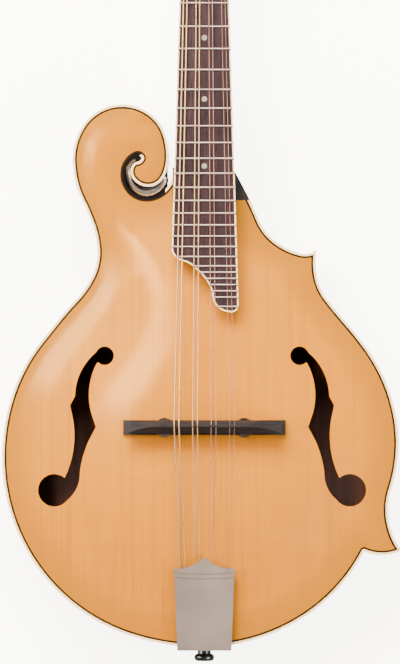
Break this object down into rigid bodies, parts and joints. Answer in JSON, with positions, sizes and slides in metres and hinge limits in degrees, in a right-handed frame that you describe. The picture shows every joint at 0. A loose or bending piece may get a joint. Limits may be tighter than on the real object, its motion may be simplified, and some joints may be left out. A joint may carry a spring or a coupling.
{
  "type": "mandolin",
  "caption": "Carved-top mandolin with a scroll and points, f-holes, adjustable bridge, plucked strings run from a tailpiece to geared tuners on an angled headstock.",
  "frame": {"origin": "the lowest point of the carved back, straight below the saddle line, where the instrument rests on a table", "axes": "+Z out of the soundboard, +Y from the tailpiece to the headstock, +X to the treble side"},
  "size_m": [0.2511, 0.6613, 0.0964],
  "materials": {
    "carved_soundboard": "satin",
    "black_lacquer": "gloss",
    "raw_maple": "raw",
    "cream_binding": "gloss",
    "brown_purfling": "satin",
    "dark_fingerboard": "satin",
    "pearl_dots": "gloss",
    "fret_wire": "polished",
    "bone_nut": "satin",
    "black_plastic": "gloss",
    "plain_steel": "satin",
    "brass_fitting": "satin",
    "small_screws": "polished",
    "tuner_metal": "polished",
    "tuner_buttons": "gloss",
    "dark_bridge": "satin",
    "thumbwheel_metal": "polished",
    "satin_tailpiece": "satin",
    "wound_strings": "polished",
    "plain_strings": "polished"
  },
  "bodies": {
    "instrument": {"top_plate": "carved_soundboard", "back_plate": "black_lacquer", "rim": "black_lacquer", "neck": "black_lacquer", "neck_shoulder_cap": "black_lacquer", "head_veneer": "black_lacquer", "tone_bars": "raw_maple", "head_block": "raw_maple", "tail_block": "raw_maple", "linings": "raw_maple", "body_binding": "cream_binding", "fingerboard_binding": "cream_binding", "body_purfling": "brown_purfling", "fingerboard": "dark_fingerboard", "position_dots": "pearl_dots", "frets": "fret_wire", "nut": "bone_nut", "truss_rod_cover": "black_plastic", "end_pin": "black_plastic", "truss_rod": "plain_steel", "bridge_studs": "plain_steel", "headstock_screws": "small_screws", "tailpiece_screws": "small_screws", "tuner_plates": "tuner_metal", "tuner_bushings": "tuner_metal", "bridge_base": "dark_bridge", "tailpiece_base": "satin_tailpiece", "strings_g": "wound_strings", "strings_d": "wound_strings", "strings_a": "plain_strings", "strings_e": "plain_strings"},
    "saddle": {"bridge_saddle": "dark_bridge"},
    "wheel_bass": {"thumbwheel_bass": "thumbwheel_metal"},
    "wheel_treble": {"thumbwheel_treble": "thumbwheel_metal"},
    "tailpiece_lid": {"tailpiece_cover": "satin_tailpiece"},
    "rod_nut": {"truss_rod_nut": "brass_fitting"},
    "key_1": {"worm_1": "tuner_metal", "button_1": "tuner_buttons"},
    "string_post_1": {"post_1": "tuner_metal"},
    "key_2": {"worm_2": "tuner_metal", "button_2": "tuner_buttons"},
    "string_post_2": {"post_2": "tuner_metal"},
    "key_3": {"worm_3": "tuner_metal", "button_3": "tuner_buttons"},
    "string_post_3": {"post_3": "tuner_metal"},
    "key_4": {"worm_4": "tuner_metal", "button_4": "tuner_buttons"},
    "string_post_4": {"post_4": "tuner_metal"},
    "key_5": {"worm_5": "tuner_metal", "button_5": "tuner_buttons"},
    "string_post_5": {"post_5": "tuner_metal"},
    "key_6": {"worm_6": "tuner_metal", "button_6": "tuner_buttons"},
    "string_post_6": {"post_6": "tuner_metal"},
    "key_7": {"worm_7": "tuner_metal", "button_7": "tuner_buttons"},
    "string_post_7": {"post_7": "tuner_metal"},
    "key_8": {"worm_8": "tuner_metal", "button_8": "tuner_buttons"},
    "string_post_8": {"post_8": "tuner_metal"}
  },
  "joints": [
    {"name": "saddle_lift", "type": "slide", "parent": "instrument", "child": "saddle", "axis": [0, 0, 1], "range_m": [-0.0009, 0.0025], "deforming": ["strings_g", "strings_d", "strings_a", "strings_e"]},
    {"name": "wheel_bass_turn", "type": "hinge", "parent": "saddle", "child": "wheel_bass", "pos_m": [-0.025, -0.0021, 0.0862], "axis": [0, 0, 1], "range_deg": [-465, 1288]},
    {"name": "wheel_treble_turn", "type": "hinge", "parent": "saddle", "child": "wheel_treble", "pos_m": [0.025, -0.0021, 0.0862], "axis": [0, 0, 1], "range_deg": [-465, 1288]},
    {"name": "lid_slide", "type": "slide", "parent": "instrument", "child": "tailpiece_lid", "axis": [0, -0.9823, -0.1874], "range_m": [0, 0.06]},
    {"name": "rod_nut_turn", "type": "hinge", "parent": "instrument", "child": "rod_nut", "pos_m": [0, 0.36526, 0.04818], "axis": [0, 0.9965, -0.0837], "range_deg": [-180, 180]},
    {"name": "key_1_turn", "type": "hinge", "parent": "instrument", "child": "key_1", "pos_m": [-0.018, 0.38542, 0.0287], "axis": [1, 0, 0], "continuous": true},
    {"name": "post_1_turn", "type": "hinge", "parent": "instrument", "child": "string_post_1", "pos_m": [-0.018, 0.38328, 0.04939], "axis": [0, 0.2625, 0.9649], "continuous": true},
    {"name": "key_2_turn", "type": "hinge", "parent": "instrument", "child": "key_2", "pos_m": [-0.018, 0.40762, 0.02266], "axis": [1, 0, 0], "continuous": true},
    {"name": "post_2_turn", "type": "hinge", "parent": "instrument", "child": "string_post_2", "pos_m": [-0.018, 0.40547, 0.04335], "axis": [0, 0.2625, 0.9649], "continuous": true},
    {"name": "key_3_turn", "type": "hinge", "parent": "instrument", "child": "key_3", "pos_m": [-0.018, 0.42981, 0.01662], "axis": [1, 0, 0], "continuous": true},
    {"name": "post_3_turn", "type": "hinge", "parent": "instrument", "child": "string_post_3", "pos_m": [-0.018, 0.42766, 0.03731], "axis": [0, 0.2625, 0.9649], "continuous": true},
    {"name": "key_4_turn", "type": "hinge", "parent": "instrument", "child": "key_4", "pos_m": [-0.018, 0.452, 0.01059], "axis": [1, 0, 0], "continuous": true},
    {"name": "post_4_turn", "type": "hinge", "parent": "instrument", "child": "string_post_4", "pos_m": [-0.018, 0.44986, 0.03127], "axis": [0, 0.2625, 0.9649], "continuous": true},
    {"name": "key_5_turn", "type": "hinge", "parent": "instrument", "child": "key_5", "pos_m": [0.018, 0.38542, 0.0287], "axis": [1, 0, 0], "continuous": true},
    {"name": "post_5_turn", "type": "hinge", "parent": "instrument", "child": "string_post_5", "pos_m": [0.018, 0.38328, 0.04939], "axis": [0, 0.2625, 0.9649], "continuous": true},
    {"name": "key_6_turn", "type": "hinge", "parent": "instrument", "child": "key_6", "pos_m": [0.018, 0.40762, 0.02266], "axis": [1, 0, 0], "continuous": true},
    {"name": "post_6_turn", "type": "hinge", "parent": "instrument", "child": "string_post_6", "pos_m": [0.018, 0.40547, 0.04335], "axis": [0, 0.2625, 0.9649], "continuous": true},
    {"name": "key_7_turn", "type": "hinge", "parent": "instrument", "child": "key_7", "pos_m": [0.018, 0.42981, 0.01662], "axis": [1, 0, 0], "continuous": true},
    {"name": "post_7_turn", "type": "hinge", "parent": "instrument", "child": "string_post_7", "pos_m": [0.018, 0.42766, 0.03731], "axis": [0, 0.2625, 0.9649], "continuous": true},
    {"name": "key_8_turn", "type": "hinge", "parent": "instrument", "child": "key_8", "pos_m": [0.018, 0.452, 0.01059], "axis": [1, 0, 0], "continuous": true},
    {"name": "post_8_turn", "type": "hinge", "parent": "instrument", "child": "string_post_8", "pos_m": [0.018, 0.44986, 0.03127], "axis": [0, 0.2625, 0.9649], "continuous": true}
  ],
  "couplings": [
    {"joint": "post_1_turn", "follows": "key_1_turn", "ratio": 0.071429},
    {"joint": "post_2_turn", "follows": "key_2_turn", "ratio": 0.071429},
    {"joint": "post_3_turn", "follows": "key_3_turn", "ratio": 0.071429},
    {"joint": "post_4_turn", "follows": "key_4_turn", "ratio": 0.071429},
    {"joint": "post_5_turn", "follows": "key_5_turn", "ratio": 0.071429},
    {"joint": "post_6_turn", "follows": "key_6_turn", "ratio": 0.071429},
    {"joint": "post_7_turn", "follows": "key_7_turn", "ratio": 0.071429},
    {"joint": "post_8_turn", "follows": "key_8_turn", "ratio": 0.071429},
    {"joint": "wheel_bass_turn", "follows": "saddle_lift", "rad_per_m": 8976},
    {"joint": "wheel_treble_turn", "follows": "saddle_lift", "rad_per_m": 8976}
  ]
}
